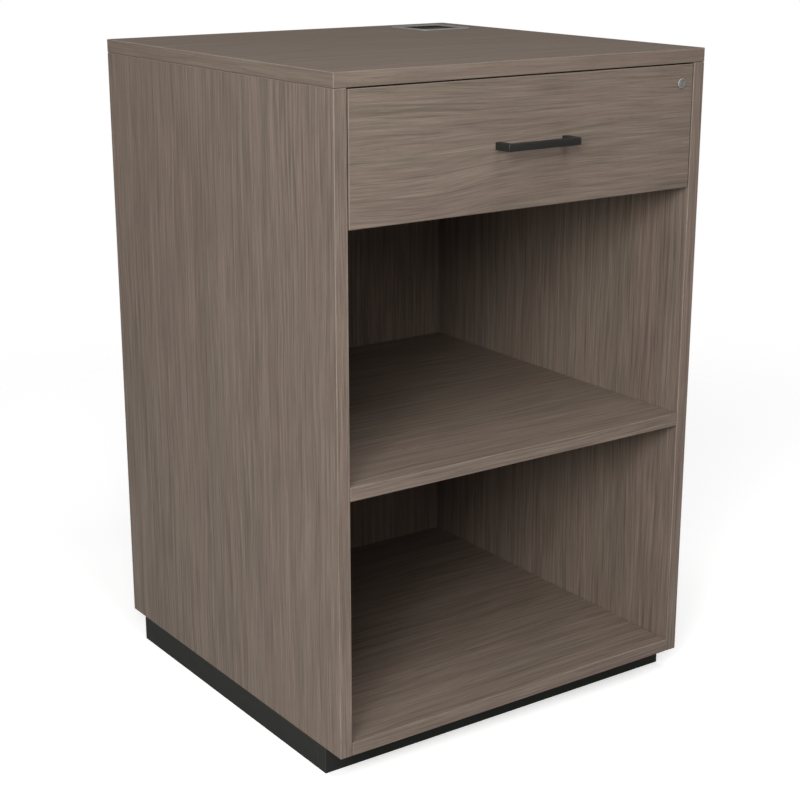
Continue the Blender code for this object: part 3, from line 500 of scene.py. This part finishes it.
def dress(name, material, width):
    """Gives a CAD node its material, clean shading and arrises eased to this width."""
    node = NODES[name]
    node.data.materials.clear()
    node.data.materials.append(material)
    shade(node)
    eased = node.modifiers.new("eased", "BEVEL")
    eased.width = width
    eased.segments = EASED_SEGMENTS
    eased.limit_method = "ANGLE"
    eased.angle_limit = CREASE
    eased.use_clamp_overlap = True
    eased.harden_normals = True


print_tree = print_group()
for number, (name, (thick, grain, sway, contrast)) in enumerate(BOARDS.items()):
    seed = FIRST_SEED + SEED_STEP * number
    dress(name, laminate(name, thick, grain, seed, sway, contrast, print_tree), EASED_BOARD)

powder_black = speckled(
    "powder_black", (0.0125, 0.0130, 0.0115, 1), (0.021, 0.022, 0.0195, 1), 1600, (0.46, 0.6),
    grit=COARSE_GRIT, specular=0.4)[0]
lid_black = speckled(
    "lid_black", (0.026, 0.022, 0.019, 1), (0.042, 0.036, 0.031, 1), 1400, (0.5, 0.62),
    grit=COARSE_GRIT, specular=0.35)[0]
nickel = metal(
    "satin_nickel", (0.28, 0.273, 0.255, 1), (0.39, 0.38, 0.36, 1), (900.0, 60.0, 900.0),
    (0.5, 0.66), bright=0.6)
zinc = metal(
    "zinc_plate", (0.50, 0.50, 0.48, 1), (0.66, 0.67, 0.68, 1), (500.0, 500.0, 500.0),
    (0.3, 0.5), specks=0.35)
steel = metal(
    "slide_steel", (0.46, 0.47, 0.465, 1), (0.64, 0.65, 0.64, 1), (1400.0, 9.0, 1400.0),
    (0.27, 0.44), specks=0.12)

# The finish of every other node, by the longest key that its name starts with: for the boxes an
# edged one's label, dark, light, scale, roughness range, wear colour and settings, else a material.
EDGED = {
    "plinth": (
        "charcoal_laminate", (0.0165, 0.0175, 0.0145, 1), (0.027, 0.028, 0.0245, 1), 900,
        (0.5, 0.64), (0.075, 0.074, 0.068, 1), {"specular": 0.25}),
    "drawer_base": (
        "grey_hardboard", (0.295, 0.28, 0.255, 1), (0.355, 0.34, 0.315, 1), 500,
        (0.55, 0.75), (0.30, 0.27, 0.23, 1), {"flecks": 0.5, "specular": 0.3}),
    "drawer": (
        "grey_melamine", (0.39, 0.38, 0.355, 1), (0.44, 0.43, 0.405, 1), 700,
        (0.42, 0.56), (0.55, 0.53, 0.49, 1), {"flecks": 0.25}),
}
FINISHES = {
    "cam": zinc,
    "bolt": zinc,
    "slide": steel,
    "drawer_handle": powder_black,
    "handle_screw": zinc,
    "front_screw": zinc,
    "lock": nickel,
    "lock_cam": zinc,
    "lock_strike": zinc,
    "strike_screw": zinc,
    "grommet_frame": grommet_finish(),
    "grommet_lid": lid_black,
}

for name in sorted(set(NODES) - set(BOARDS)):
    best = max((key for key in (*FINISHES, *EDGED) if name.startswith(key)), key=len)
    if best in EDGED:
        *look, settings = EDGED[best]
        material = edged(name, *look, **settings)
    else:
        material = FINISHES[best]
    width = next((EASED[key] for key in EASED if name.startswith(key)), EASED_OTHER)
    dress(name, material, width)


# ---------------------------------------------------------------- fine pieces of the slides
def finish_piece(name, work, body, material):
    """Makes a piece of a bmesh, which rides on this body."""
    bmesh.ops.recalc_face_normals(work, faces=work.faces)
    mesh = bpy.data.meshes.new(name)
    work.to_mesh(mesh)
    work.free()
    piece = bpy.data.objects.new(name, mesh)
    bpy.context.scene.collection.objects.link(piece)
    mesh.materials.append(material)
    shade(piece)
    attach(piece, body)


def cross_reach(angle):
    """The outline of a cross recess around its middle, as a share of its length."""
    turn = abs((angle + math.pi / 4) % (math.pi / 2) - math.pi / 4)
    if math.tan(turn) <= RECESS_WIDTH:
        return 1 / math.cos(turn)
    return RECESS_WIDTH / math.sin(turn)


def add_screw_head(work, place, out, height, dome):
    """A round head with a domed edge and a cross recess, which faces out along X."""
    rows = [(HEAD_RADIUS, 0.0, False), (HEAD_RADIUS, height * (1 - dome), False)]
    for step in range(1, HEAD_STEPS + 1):
        turn = math.pi / 2 * step / HEAD_STEPS
        reach = HEAD_RADIUS * (1 - HEAD_SHRINK * dome * (1 - math.cos(turn)))
        rows.append((reach, height * (1 - dome * (1 - math.sin(turn))), False))
    rows.append((HEAD_RADIUS * RECESS_MOUTH, height, True))
    rows.append((HEAD_RADIUS * RECESS_FLOOR, height * RECESS_LEVEL, True))
    rings = []
    for reach, rise, crossed in rows:
        ring = []
        for count in range(HEAD_SIDES):
            angle = 2 * math.pi * count / HEAD_SIDES
            length = reach * (cross_reach(angle) if crossed else 1.0)
            ring.append(work.verts.new((
                place.x + out * rise,
                place.y + length * math.cos(angle),
                place.z + length * math.sin(angle),
            )))
        rings.append(ring)
    for first, second in zip(rings, rings[1:]):
        for count in range(HEAD_SIDES):
            after = (count + 1) % HEAD_SIDES
            work.faces.new((first[count], first[after], second[after], second[count]))
    work.faces.new(rings[0])
    work.faces.new(rings[-1])


def add_slide_screws(side, sign):
    """Flush heads in the outer member's web, and pan heads in the inner member's."""
    for member, body, out, height, dome in (
        ("outer", "cabinet", -sign, FLUSH_HEAD, FLUSH_DOME),
        ("inner", "drawer", sign, PAN_HEAD, PAN_DOME),
    ):
        low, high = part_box(f"slide_{member}_{side}")
        web = (low.x if out > 0 else high.x) + out * SHEET
        work = bmesh.new()
        for share in SCREW_SHARES[member]:
            place = Vector((web, low.y + share * (high.y - low.y), (low.z + high.z) / 2))
            add_screw_head(work, place, out, height, dome)
        finish_piece(f"{member}_slide_screws_{side}", work, body, zinc)


def add_ball_row(work, x, z, start, stop):
    """A thin cage strip with its row of balls, along Y."""
    corners = [
        (x - CAGE_HALF, z - CAGE_SHEET),
        (x + CAGE_HALF, z - CAGE_SHEET),
        (x + CAGE_HALF, z + CAGE_SHEET),
        (x - CAGE_HALF, z + CAGE_SHEET),
    ]
    first, last = ([work.verts.new((a, y, b)) for a, b in corners] for y in (start, stop))
    work.faces.new(first)
    work.faces.new(last)
    for count in range(4):
        after = (count + 1) % 4
        work.faces.new((first[count], first[after], last[after], last[count]))
    balls = int((stop - start) / BALL_PITCH)
    for count in range(balls):
        y = start + (count + 0.5) * (stop - start) / balls
        spot = Matrix.Translation((x, y, z))
        bmesh.ops.create_icosphere(
            work, subdivisions=BALL_DETAIL, radius=BALL_RADIUS, matrix=spot)


def add_bearings(side):
    """Ball rows that ride on the middle member, and stay inside the others over its travel."""
    outer, middle, inner = (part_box(f"slide_{part}_{side}") for part in ("outer", "middle", "inner"))
    reach = BEARING_SHARE * (middle[1].y - middle[0].y)
    for label, (low, high), held, start in (
        ("outer", outer, middle, middle[1].y - BEARING_INSET - reach),
        ("inner", middle, inner, middle[0].y + BEARING_INSET),
    ):
        work = bmesh.new()
        x = (low.x + high.x) / 2
        for z in ((high.z - SHEET + held[1].z) / 2, (low.z + SHEET + held[0].z) / 2):
            add_ball_row(work, x, z, start, start + reach)
        name = f"{label}_bearing_{side}"
        finish_piece(name, work, f"slide_carriage_{side}", steel)


for side, sign in (("left", -1), ("right", 1)):
    add_slide_screws(side, sign)
    add_bearings(side)


# ---------------------------------------------------------------- studio
def add_camera():
    data = bpy.data.cameras.new("camera")
    data.lens = CAMERA_LENS
    data.sensor_width = CAMERA_SENSOR
    camera = bpy.data.objects.new("camera", data)
    camera.location = CAMERA_PLACE
    camera.rotation_euler = Euler((math.pi / 2 - CAMERA_TILT, 0, -CAMERA_HEADING), "XYZ")
    bpy.context.scene.collection.objects.link(camera)
    bpy.context.scene.camera = camera


def add_softbox(name, azimuth, elevation, size, power):
    """A square light aimed at the object. Azimuth is in degrees from -Y towards +X."""
    turn, rise = math.radians(azimuth), math.radians(elevation)
    level = math.cos(rise)
    away = Vector((math.sin(turn) * level, -math.cos(turn) * level, math.sin(rise)))
    data = bpy.data.lights.new(name, "AREA")
    data.shape = "SQUARE"
    data.size = size
    data.energy = power
    light = bpy.data.objects.new(name, data)
    light.location = LIGHT_TARGET + away * LIGHT_DISTANCE
    light.rotation_euler = away.to_track_quat("Z", "Y").to_euler()
    bpy.context.scene.collection.objects.link(light)


def seen_by_camera(tree):
    return tree.nodes.new("ShaderNodeLightPath").outputs["Is Camera Ray"]


def mottled_grey(tree, mottle, levels):
    return mix_colour(tree, mottle, *((level, level, level, 1) for level in levels))


def add_floor():
    """A pale floor that fades into the white room, and throws less light up than it shows."""
    bpy.ops.mesh.primitive_grid_add(
        x_subdivisions=FLOOR_CELLS, y_subdivisions=FLOOR_CELLS, size=2 * FLOOR_HALF)
    floor = bpy.context.object
    floor.name = "floor"
    floor.location.z = CAD_LOW.z
    material, tree, shader = blank_material("pale_floor")
    place = object_spot(tree)
    mottle = noise(tree, place, FLOOR_MOTTLE, 3.0)
    seen = seen_by_camera(tree)
    bounce, shown = (mottled_grey(tree, mottle, levels) for levels in (FLOOR_BOUNCE, FLOOR_SEEN))
    tree.links.new(mix_colour(tree, seen, bounce, shown), shader.inputs["Base Color"])
    shader.inputs["Roughness"].default_value = FLOOR_ROUGHNESS
    shader.inputs["Specular IOR Level"].default_value = FLOOR_SPECULAR
    shader.inputs["Emission Color"].default_value = (1, 1, 1, 1)
    glow = calc(tree, "MULTIPLY", seen, FLOOR_GLOW)
    tree.links.new(glow, shader.inputs["Emission Strength"])
    away = add(tree, "ShaderNodeVectorMath", {0: place}, operation="LENGTH").outputs["Value"]
    inputs = {0: away, 1: FLOOR_SOLID, 2: FLOOR_END, 3: 1.0, 4: 0.0}
    fade = add(tree, "ShaderNodeMapRange", inputs, interpolation_type="SMOOTHERSTEP").outputs[0]
    tree.links.new(fade, shader.inputs["Alpha"])
    floor.data.materials.append(material)


def add_world():
    """A room that is white to the eye and lights the object softly."""
    world = bpy.data.worlds.new("studio")
    world.use_nodes = True
    tree = world.node_tree
    backdrop = tree.nodes["Background"]
    backdrop.inputs["Color"].default_value = (1, 1, 1, 1)
    strength = stretch(tree, seen_by_camera(tree), 0.0, 1.0, ROOM_LIGHT, ROOM_WHITE)
    tree.links.new(strength, backdrop.inputs["Strength"])
    bpy.context.scene.world = world


add_camera()
add_floor()
add_world()
for softbox in SOFTBOXES:
    add_softbox(*softbox)
bpy.context.scene.view_settings.view_transform = "Standard"
